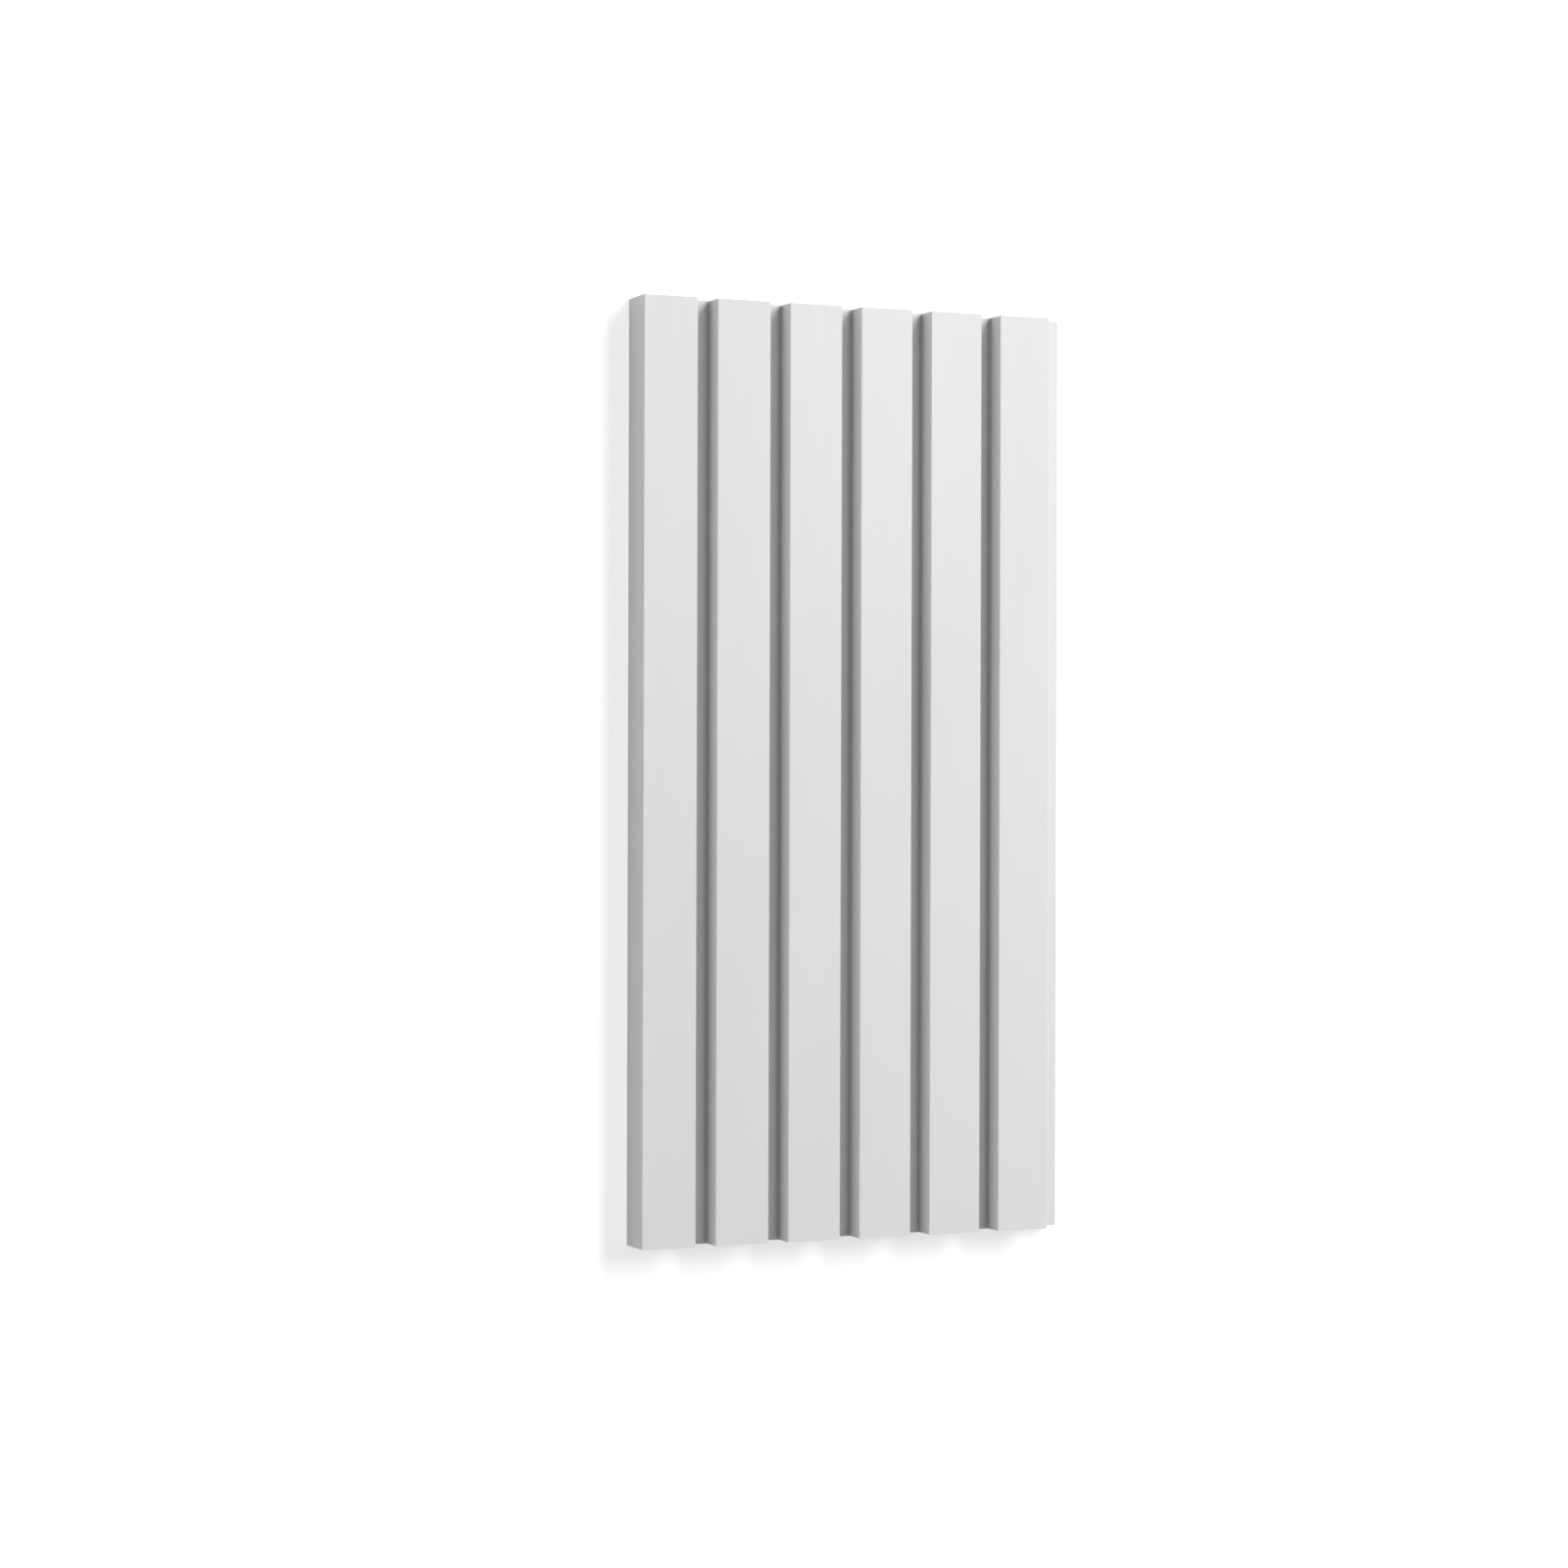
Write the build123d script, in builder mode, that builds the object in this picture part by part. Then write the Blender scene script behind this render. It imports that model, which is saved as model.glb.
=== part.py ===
"""Slatted three-dimensional wall panel: flat bars on a thin backing, made as one piece.

The panel lies on its flat back with the bars facing up. The origin is the middle of the back,
+X runs across the bars towards the joint lip, +Y along the bars and +Z from the back to the front.
"""

import os

from build123d import *

# Driving dimensions, in millimetres
panel_length = 500.0
bar_count = 6
bar_width = 30.3
groove_width = 11.4
panel_thickness = 22.0
backing_thickness = 10.0
arris_radius = 0.5
root_radius = 0.4

# Past the last bar the backing stands out as a lip, one groove wide. The first bar of the next
# panel butts against it, so the bars keep their pitch across the joint.
lip_width = groove_width
bar_pitch = bar_width + groove_width
panel_width = (bar_count - 1) * bar_pitch + bar_width + lip_width
bar_height = panel_thickness - backing_thickness
bars_middle = -lip_width / 2

with BuildPart() as wall_panel:
    # The section across the bars stands at the lower end and is drawn out along the bars
    with BuildSketch(Plane.XZ.offset(panel_length / 2)):
        with Locations((0, backing_thickness / 2)):
            Rectangle(panel_width, backing_thickness)
        with Locations((bars_middle, backing_thickness + bar_height / 2)):
            with GridLocations(bar_pitch, 0, bar_count, 1):
                Rectangle(bar_width, bar_height)
    extrude(amount=-panel_length)

    # A small hollow radius where each bar rises from the backing
    front_of_backing = wall_panel.edges().filter_by(Axis.Y).group_by(Axis.Z)[1]
    bar_roots = front_of_backing.sort_by(Axis.X)[:-1]
    fillet(bar_roots, root_radius)

    # Soft arrises along the front of every bar and along the lip
    long_edges = wall_panel.edges().filter_by(Axis.Y).group_by(Axis.Z)
    bar_arrises = long_edges[-1]
    lip_arris = long_edges[1].sort_by(Axis.X)[-1]
    fillet([*bar_arrises, lip_arris], arris_radius)

wall_panel.part.label = "wall_panel"

os.makedirs("parts", exist_ok=True)
export_step(wall_panel.part, "parts/wall_panel.step")
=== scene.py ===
"""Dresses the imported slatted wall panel: its primed, sawn and bare finishes, and the stage it lies on.

Lengths are in metres, in the panel's own frame: +X across the bars towards the lip, +Y along the
bars and +Z up from the flat back, which lies on the floor.
"""

import math

import bpy
from mathutils import Matrix, Vector

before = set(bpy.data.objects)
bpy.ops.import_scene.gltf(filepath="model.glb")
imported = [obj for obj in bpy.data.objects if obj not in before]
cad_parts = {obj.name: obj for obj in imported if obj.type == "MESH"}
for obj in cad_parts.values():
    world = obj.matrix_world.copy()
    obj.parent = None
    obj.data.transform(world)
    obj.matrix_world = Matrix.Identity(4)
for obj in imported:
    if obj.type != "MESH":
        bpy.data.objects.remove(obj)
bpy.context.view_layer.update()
PANEL_NODE = "wall_panel"

bl_info = {
    "name": "Slatted wall panel",
    "version": (1, 0, 0),
    "blender": (4, 5, 0),
    "location": "3D View > Sidebar > Wall panel",
    "description": "Finishes a slatted wall panel and sets it out on a plain stage",
    "category": "Object",
}

ALONG_BARS = Vector((0.0, 1.0, 0.0))
BACK_MIDDLE = Vector((0.0, 0.0, 0.0))
# A face belongs to a side when its normal leans that far towards it
LEANS_TO_SIDE = 0.5
# The part of a noise's range in which most of its values lie
NOISE_MIDDLE = (0.3, 0.7)
# The noise values over which a thin patch of primer turns into the full coat
CLOUD_EDGE = (0.35, 0.65)
# Share of the full coat of primer, in the thin patches and outside them
COAT_IN_CLOUDS = (0.96, 1.0)
# How far patches and die lines are drawn out along the bars
CLOUD_STRETCH = (1.0, 2.5, 1.0)
LINE_STRETCH = (1.0, 250.0, 1.0)
# Ambient occlusion values over which the shade painted into the grooves' inner corners fades from full
# to none
CORNER_SHADE_OPENING = (0.45, 0.95)
# Distance from a cell's middle, in cells, over which it fades into the solid polymer
PORE_EDGE = (0.1, 0.5)
# How far the raw polymer's patches go towards the colour of the pores
MOTTLING = (0.0, 0.3)
PRIMER_ROUGHNESS = (0.52, 0.60)
RAW_ROUGHNESS = (0.72, 0.82)
MATT_SPECULAR = 0.35
WHITE = (1.0, 1.0, 1.0, 1.0)
# Strength at which a light of that colour shows as white
SHOWN_WHITE = 1.0
# Places of a Mix node's A, B and Result, which have the same names for every kind of data
MIX_SOCKETS = {"FLOAT": (2, 3, 0), "RGBA": (6, 7, 2)}


class PanelFinish(bpy.types.PropertyGroup):
    """Colours and grain of the panel's three surfaces: primed front, sawn ends and bare back, and the
    shade painted into the grooves' inner corners.
    """

    primer_color: bpy.props.FloatVectorProperty(
        name="Primer",
        description="Colour of the factory primer on the bars, the grooves and the edges",
        subtype="COLOR",
        size=4,
        min=0.0,
        max=1.0,
        default=(0.74, 0.74, 0.74, 1.0),
    )
    # Painted shade: the dark colour that the grooves' inner corners are painted towards, standing in for
    # the shade that falls there
    corner_shade_color: bpy.props.FloatVectorProperty(
        name="Thin primer",
        description="Colour where the sprayed primer lies thin, in the inner corners of the grooves",
        subtype="COLOR",
        size=4,
        min=0.0,
        max=1.0,
        default=(0.33, 0.33, 0.33, 1.0),
    )
    # Painted shade: how near a facing wall has to be for the groove's corner to be painted darker
    corner_shade_reach: bpy.props.FloatProperty(
        name="Spray reach",
        description="How near a facing wall has to be to keep the sprayed primer thin",
        unit="LENGTH",
        min=0.001,
        default=0.0052,
    )
    raw_color: bpy.props.FloatVectorProperty(
        name="Raw polymer",
        description="Colour of the foamed polymer where it is sawn or left bare",
        subtype="COLOR",
        size=4,
        min=0.0,
        max=1.0,
        default=(0.66, 0.65, 0.625, 1.0),
    )
    pore_color: bpy.props.FloatVectorProperty(
        name="Pores",
        description="Colour inside the small cells that the saw cuts open",
        subtype="COLOR",
        size=4,
        min=0.0,
        max=1.0,
        default=(0.52, 0.505, 0.475, 1.0),
    )
    cloud_size: bpy.props.FloatProperty(
        name="Clouding",
        description="Width of the soft patches where the primer is thinner",
        unit="LENGTH",
        min=0.001,
        default=0.07,
    )
    peel_size: bpy.props.FloatProperty(
        name="Peel size",
        description="Width of one dimple of the sprayed primer",
        unit="LENGTH",
        min=0.0001,
        precision=5,
        default=0.0011,
    )
    peel_depth: bpy.props.FloatProperty(
        name="Peel depth",
        description="Depth of the primer's dimples",
        unit="LENGTH",
        min=0.0,
        precision=6,
        default=0.000012,
    )
    draw_line_width: bpy.props.FloatProperty(
        name="Draw line width",
        description="Width of the faint lines that the die leaves along the bars",
        unit="LENGTH",
        min=0.0001,
        precision=5,
        default=0.0016,
    )
    draw_line_depth: bpy.props.FloatProperty(
        name="Draw line depth",
        description="Depth of the die's lines",
        unit="LENGTH",
        min=0.0,
        precision=6,
        default=0.000010,
    )
    saw_pitch: bpy.props.FloatProperty(
        name="Saw mark pitch",
        description="Distance between the marks of the saw on the ends",
        unit="LENGTH",
        min=0.0001,
        precision=5,
        default=0.0022,
    )
    saw_depth: bpy.props.FloatProperty(
        name="Saw mark depth",
        description="Depth of the saw's marks and of the opened cells",
        unit="LENGTH",
        min=0.0,
        precision=6,
        default=0.00005,
    )
    pore_size: bpy.props.FloatProperty(
        name="Pore size",
        description="Width of one cell of the foamed polymer",
        unit="LENGTH",
        min=0.0001,
        precision=5,
        default=0.0007,
    )


class PanelStage(bpy.types.PropertyGroup):
    """Floor, light and camera."""

    floor_color: bpy.props.FloatVectorProperty(
        name="Floor",
        description="Colour of the plain pale floor",
        subtype="COLOR",
        size=4,
        min=0.0,
        max=1.0,
        default=(0.6, 0.6, 0.6, 1.0),
    )
    floor_size: bpy.props.FloatProperty(
        name="Floor size",
        description="Length of one side of the floor",
        unit="LENGTH",
        min=1.0,
        default=12.0,
    )
    floor_lift: bpy.props.FloatProperty(
        name="Floor lift",
        description="Light added to the floor where it is seen, so that its lit part reads as white",
        min=0.0,
        max=1.0,
        default=0.6,
    )
    sky_strength: bpy.props.FloatProperty(
        name="Sky strength",
        description="Light that reaches the panel evenly from all sides",
        min=0.0,
        default=0.275,
    )
    key_location: bpy.props.FloatVectorProperty(
        name="Key lamp",
        description="Place of the large main lamp, above the lip's side and the upper end",
        subtype="TRANSLATION",
        unit="LENGTH",
        size=3,
        default=(1.46, 1.36, 2.04),
    )
    key_width: bpy.props.FloatProperty(
        name="Key width",
        description="Size of the main lamp across the bars",
        unit="LENGTH",
        min=0.01,
        default=1.09,
    )
    key_length: bpy.props.FloatProperty(
        name="Key length",
        description="Size of the main lamp along the bars",
        unit="LENGTH",
        min=0.01,
        default=2.31,
    )
    key_power: bpy.props.FloatProperty(
        name="Key power",
        description="Power of the main lamp",
        unit="POWER",
        min=0.0,
        default=82.3,
    )
    fill_location: bpy.props.FloatVectorProperty(
        name="Fill lamp",
        description="Place of the low lamp on the first bar's side",
        subtype="TRANSLATION",
        unit="LENGTH",
        size=3,
        default=(-2.9, 0.25, 0.98),
    )
    fill_size: bpy.props.FloatProperty(
        name="Fill size",
        description="Side of the square low lamp",
        unit="LENGTH",
        min=0.01,
        default=1.2,
    )
    fill_power: bpy.props.FloatProperty(
        name="Fill power",
        description="Power of the low lamp",
        unit="POWER",
        min=0.0,
        default=16.8,
    )
    camera_location: bpy.props.FloatVectorProperty(
        name="Camera",
        description="Place of the camera, above the panel and to the left of it",
        subtype="TRANSLATION",
        unit="LENGTH",
        size=3,
        default=(-0.80256, -0.00301, 1.76478),
    )
    camera_aim: bpy.props.FloatVectorProperty(
        name="Camera aim",
        description="Point on the bars' front at the middle of the picture",
        subtype="TRANSLATION",
        unit="LENGTH",
        size=3,
        default=(-0.04471, -0.00606, 0.022),
    )
    camera_roll: bpy.props.FloatProperty(
        name="Camera roll",
        description="Turn of the camera about its line of sight",
        subtype="ANGLE",
        default=math.radians(0.153),
    )
    focal_length: bpy.props.FloatProperty(
        name="Focal length",
        description="Focal length of the camera's lens on a 36 mm wide picture",
        unit="CAMERA",
        min=1.0,
        default=82.04,
    )


class NodeSheet:
    """Adds nodes to one node tree and links them by socket name."""

    def __init__(self, tree):
        self.tree = tree
        tree.nodes.clear()

    def add(self, kind, label="", **settings):
        """A node of one kind, with its settings."""
        node = self.tree.nodes.new(kind)
        node.label = label
        for name, value in settings.items():
            setattr(node, name, value)
        return node

    def feed(self, socket, source):
        """Links a socket to another node's output, or sets it to a plain value."""
        if isinstance(source, bpy.types.NodeSocket):
            self.tree.links.new(source, socket)
        else:
            socket.default_value = source

    def math(self, operation, first, second=0.0, label=""):
        """A Math node's result."""
        node = self.add("ShaderNodeMath", label, operation=operation)
        self.feed(node.inputs[0], first)
        self.feed(node.inputs[1], second)
        return node.outputs["Value"]

    def spread(self, value, span, result=(0.0, 1.0), label=""):
        """A value's span from low to high, stretched smoothly to a new one."""
        node = self.add("ShaderNodeMapRange", label, interpolation_type="SMOOTHSTEP")
        self.feed(node.inputs["Value"], value)
        node.inputs["From Min"].default_value = span[0]
        node.inputs["From Max"].default_value = span[1]
        node.inputs["To Min"].default_value = result[0]
        node.inputs["To Max"].default_value = result[1]
        return node.outputs["Result"]

    def mix(self, kind, share, first, second, label=""):
        """Two inputs of one kind, mixed by a share from 0 to 1."""
        first_place, second_place, result_place = MIX_SOCKETS[kind]
        node = self.add("ShaderNodeMix", label, data_type=kind)
        self.feed(node.inputs["Factor"], share)
        self.feed(node.inputs[first_place], first)
        self.feed(node.inputs[second_place], second)
        return node.outputs[result_place]

    def mix_color(self, share, first, second, label=""):
        """Two colours mixed by a share from 0 to 1."""
        return self.mix("RGBA", share, first, second, label)

    def mix_value(self, share, first, second, label=""):
        """Two values mixed by a share from 0 to 1."""
        return self.mix("FLOAT", share, first, second, label)

    def noise(self, coordinates, cell, detail=2.0, stretch=(1.0, 1.0, 1.0), label=""):
        """Noise with cells of one size in metres, drawn out along any axis by a stretch above 1."""
        scaled = self.add("ShaderNodeMapping", label)
        self.feed(scaled.inputs["Vector"], coordinates)
        scaled.inputs["Scale"].default_value = [1.0 / (cell * s) for s in stretch]
        node = self.add("ShaderNodeTexNoise", label)
        self.feed(node.inputs["Vector"], scaled.outputs["Vector"])
        node.inputs["Scale"].default_value = 1.0
        node.inputs["Detail"].default_value = detail
        return node.outputs["Fac"]


def new_material(name):
    """A material of that name with an empty node tree, and its sheet."""
    material = bpy.data.materials.new(name)
    material.use_nodes = True
    return material, NodeSheet(material.node_tree)


def primed_polymer(finish):
    """Matt primer on the moulded faces with shade painted into the grooves' inner corners, opened cells
    and saw marks on the ends, a bare back.
    """
    material, sheet = new_material("primed_polymer")
    place = sheet.add("ShaderNodeTexCoord", "Place")
    metres = place.outputs["Object"]
    facing = sheet.add("ShaderNodeSeparateXYZ", "Facing")
    sheet.feed(facing.inputs["Vector"], place.outputs["Normal"])
    along = sheet.math("ABSOLUTE", facing.outputs["Y"], label="Along the bars")
    on_end = sheet.math("GREATER_THAN", along, LEANS_TO_SIDE, "On a sawn end")
    on_back = sheet.math("LESS_THAN", facing.outputs["Z"], -LEANS_TO_SIDE, "On the back")
    unprimed = sheet.math("MAXIMUM", on_end, on_back, "Unprimed")

    clouds = sheet.noise(metres, finish.cloud_size, detail=3.0, stretch=CLOUD_STRETCH, label="Clouding")
    coat = sheet.spread(clouds, CLOUD_EDGE, COAT_IN_CLOUDS, "Coat in clouds")
    # Painted shade: where ambient occlusion finds a facing wall near, the primer's colour is darkened
    # towards the shade colour, standing in for the shade in the grooves' inner corners; the clouding is
    # the primer's own random tone
    reach = sheet.add("ShaderNodeAmbientOcclusion", "Spray reach", only_local=True, samples=8)
    reach.inputs["Distance"].default_value = finish.corner_shade_reach
    corner_shade_factor = sheet.spread(reach.outputs["AO"], CORNER_SHADE_OPENING, label="Reached by the spray")
    coat = sheet.math("MULTIPLY", coat, corner_shade_factor, "Coat")
    primer = sheet.mix_color(coat, finish.corner_shade_color, finish.primer_color, "Primer")

    lines = sheet.noise(metres, finish.draw_line_width, stretch=LINE_STRETCH, label="Draw lines")
    peel = sheet.noise(metres, finish.peel_size, detail=1.0, label="Peel")

    cells = sheet.add("ShaderNodeTexVoronoi", "Cells")
    cells.inputs["Scale"].default_value = 1.0 / finish.pore_size
    sheet.feed(cells.inputs["Vector"], metres)
    pores = sheet.spread(cells.outputs["Distance"], PORE_EDGE, (1.0, 0.0), "Pores")
    saw = sheet.add("ShaderNodeTexWave", "Saw marks", bands_direction="X")
    # A wave texture's bands are pi / 10 apart at a scale of 1
    saw.inputs["Scale"].default_value = math.pi / (10.0 * finish.saw_pitch)
    saw.inputs["Distortion"].default_value = 1.5
    saw.inputs["Detail"].default_value = 2.0
    saw.inputs["Detail Scale"].default_value = 0.6
    sheet.feed(saw.inputs["Vector"], metres)
    opened = sheet.math("MULTIPLY", pores, on_end, "Opened cells")
    mottle = sheet.spread(clouds, NOISE_MIDDLE, MOTTLING, "Mottling")
    dulled = sheet.math("MAXIMUM", opened, mottle, "Dulled")
    raw = sheet.mix_color(dulled, finish.raw_color, finish.pore_color, "Raw polymer")

    peel_height = sheet.math("MULTIPLY", peel, finish.peel_depth)
    line_height = sheet.math("MULTIPLY", lines, finish.draw_line_depth)
    moulded = sheet.math("ADD", peel_height, line_height, "Moulded relief")
    sawn = sheet.math("SUBTRACT", saw.outputs["Fac"], pores)
    sawn = sheet.math("MULTIPLY", sawn, finish.saw_depth, "Sawn relief")
    relief = sheet.mix_value(on_end, moulded, sawn, "Relief")
    bump = sheet.add("ShaderNodeBump", "Relief")
    # The relief is already in metres
    bump.inputs["Distance"].default_value = 1.0
    sheet.feed(bump.inputs["Height"], relief)

    primer_roughness = sheet.spread(lines, NOISE_MIDDLE, PRIMER_ROUGHNESS, "Primer roughness")
    raw_roughness = sheet.spread(clouds, NOISE_MIDDLE, RAW_ROUGHNESS, "Raw roughness")

    shader = sheet.add("ShaderNodeBsdfPrincipled", "Polymer")
    shader.inputs["Specular IOR Level"].default_value = MATT_SPECULAR
    # The primer's colour here carries the shade painted into the grooves' inner corners
    colour = sheet.mix_color(unprimed, primer, raw, "Colour")
    sheet.feed(shader.inputs["Base Color"], colour)
    roughness = sheet.mix_value(unprimed, primer_roughness, raw_roughness, "Roughness")
    sheet.feed(shader.inputs["Roughness"], roughness)
    sheet.feed(shader.inputs["Normal"], bump.outputs["Normal"])
    output = sheet.add("ShaderNodeOutputMaterial")
    sheet.feed(output.inputs["Surface"], shader.outputs["BSDF"])
    return material


def shown_directly(sheet):
    """1 where the camera, a gloss or a glass sees a surface, and 0 where it only lights others."""
    path = sheet.add("ShaderNodeLightPath", "Seen by")
    seen = sheet.math("MAXIMUM", path.outputs["Is Camera Ray"], path.outputs["Is Glossy Ray"])
    return sheet.math("MAXIMUM", seen, path.outputs["Is Transmission Ray"])


def pale_floor(stage):
    """A plain pale floor that keeps shadows and reads as white where it is lit."""
    material, sheet = new_material("pale_floor")
    matt = sheet.add("ShaderNodeBsdfDiffuse", "Floor")
    matt.inputs["Color"].default_value = stage.floor_color
    lift = sheet.add("ShaderNodeEmission", "Lift")
    strength = sheet.math("MULTIPLY", shown_directly(sheet), stage.floor_lift, "Lift where seen")
    sheet.feed(lift.inputs["Strength"], strength)
    both = sheet.add("ShaderNodeAddShader")
    sheet.feed(both.inputs[0], matt.outputs["BSDF"])
    sheet.feed(both.inputs[1], lift.outputs["Emission"])
    output = sheet.add("ShaderNodeOutputMaterial")
    sheet.feed(output.inputs["Surface"], both.outputs["Shader"])
    return material


def even_sky(stage):
    """A world that lights evenly and shows white behind the floor."""
    world = bpy.data.worlds.new("even_sky")
    world.use_nodes = True
    sheet = NodeSheet(world.node_tree)
    background = sheet.add("ShaderNodeBackground", "Sky")
    strength = sheet.mix_value(shown_directly(sheet), stage.sky_strength, SHOWN_WHITE, "Sky strength")
    background.inputs["Color"].default_value = WHITE
    sheet.feed(background.inputs["Strength"], strength)
    output = sheet.add("ShaderNodeOutputWorld")
    sheet.feed(output.inputs["Surface"], background.outputs["Background"])
    return world


def look_at(location, aim, roll=0.0):
    """Where a lamp or camera stands that looks at a point, with the panel's length up the picture."""
    forward = (Vector(aim) - Vector(location)).normalized()
    right = forward.cross(ALONG_BARS).normalized()
    up = right.cross(forward)
    turn = Matrix((right, up, -forward)).transposed() @ Matrix.Rotation(roll, 3, "Z")
    return Matrix.Translation(location) @ turn.to_4x4()


def add_to_scene(context, name, data):
    """A new object with that data, in the scene."""
    made = bpy.data.objects.new(name, data)
    context.scene.collection.objects.link(made)
    return made


def soft_lamp(context, name, location, width, length, power):
    """A flat soft lamp that faces the panel and doesn't show in the picture."""
    light = bpy.data.lights.new(name, "AREA")
    light.shape = "RECTANGLE"
    light.size = width
    light.size_y = length
    light.energy = power
    lamp = add_to_scene(context, name, light)
    lamp.matrix_world = look_at(location, BACK_MIDDLE)
    lamp.visible_camera = False


class WALLPANEL_OT_finish(bpy.types.Operator):
    """Give the panel its primed front, sawn ends and bare back"""

    bl_idname = "wall_panel.finish"
    bl_label = "Finish the panel"

    def execute(self, context):
        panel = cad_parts[PANEL_NODE]
        panel.data.materials.clear()
        panel.data.materials.append(primed_polymer(context.scene.panel_finish))
        return {"FINISHED"}


class WALLPANEL_OT_stage(bpy.types.Operator):
    """Set out the floor, the light and the camera"""

    bl_idname = "wall_panel.stage"
    bl_label = "Set the stage"

    def execute(self, context):
        stage = context.scene.panel_stage
        half = stage.floor_size / 2
        ground = bpy.data.meshes.new("floor")
        corners = [(-half, -half, 0.0), (half, -half, 0.0), (half, half, 0.0), (-half, half, 0.0)]
        ground.from_pydata(corners, [], [(0, 1, 2, 3)])
        ground.materials.append(pale_floor(stage))
        add_to_scene(context, "floor", ground)
        context.scene.world = even_sky(stage)

        key_sides = stage.key_width, stage.key_length
        soft_lamp(context, "key_lamp", stage.key_location, *key_sides, stage.key_power)
        fill_sides = stage.fill_size, stage.fill_size
        soft_lamp(context, "fill_lamp", stage.fill_location, *fill_sides, stage.fill_power)

        lens = bpy.data.cameras.new("camera")
        lens.lens = stage.focal_length
        camera = add_to_scene(context, "camera", lens)
        camera.matrix_world = look_at(stage.camera_location, stage.camera_aim, stage.camera_roll)
        context.scene.camera = camera
        context.scene.view_settings.view_transform = "Standard"
        return {"FINISHED"}


class WALLPANEL_PT_sidebar(bpy.types.Panel):
    """Lists the panel's finishes and its stage"""

    bl_idname = "WALLPANEL_PT_sidebar"
    bl_label = "Slatted wall panel"
    bl_space_type = "VIEW_3D"
    bl_region_type = "UI"
    bl_category = "Wall panel"

    def draw(self, context):
        for group, operator in (
            (context.scene.panel_finish, WALLPANEL_OT_finish),
            (context.scene.panel_stage, WALLPANEL_OT_stage),
        ):
            box = self.layout.box()
            for name in group.bl_rna.properties.keys():
                if name not in ("rna_type", "name"):
                    box.prop(group, name)
            box.operator(operator.bl_idname)


CLASSES = (
    PanelFinish,
    PanelStage,
    WALLPANEL_OT_finish,
    WALLPANEL_OT_stage,
    WALLPANEL_PT_sidebar,
)


def register():
    """Adds the classes and their settings to Blender."""
    for cls in CLASSES:
        bpy.utils.register_class(cls)
    bpy.types.Scene.panel_finish = bpy.props.PointerProperty(type=PanelFinish)
    bpy.types.Scene.panel_stage = bpy.props.PointerProperty(type=PanelStage)


def unregister():
    """Takes the classes and their settings out again."""
    del bpy.types.Scene.panel_stage
    del bpy.types.Scene.panel_finish
    for cls in reversed(CLASSES):
        bpy.utils.unregister_class(cls)


def main():
    """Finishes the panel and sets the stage."""
    register()
    bpy.ops.wall_panel.finish()
    bpy.ops.wall_panel.stage()


if __name__ == "__main__":
    main()
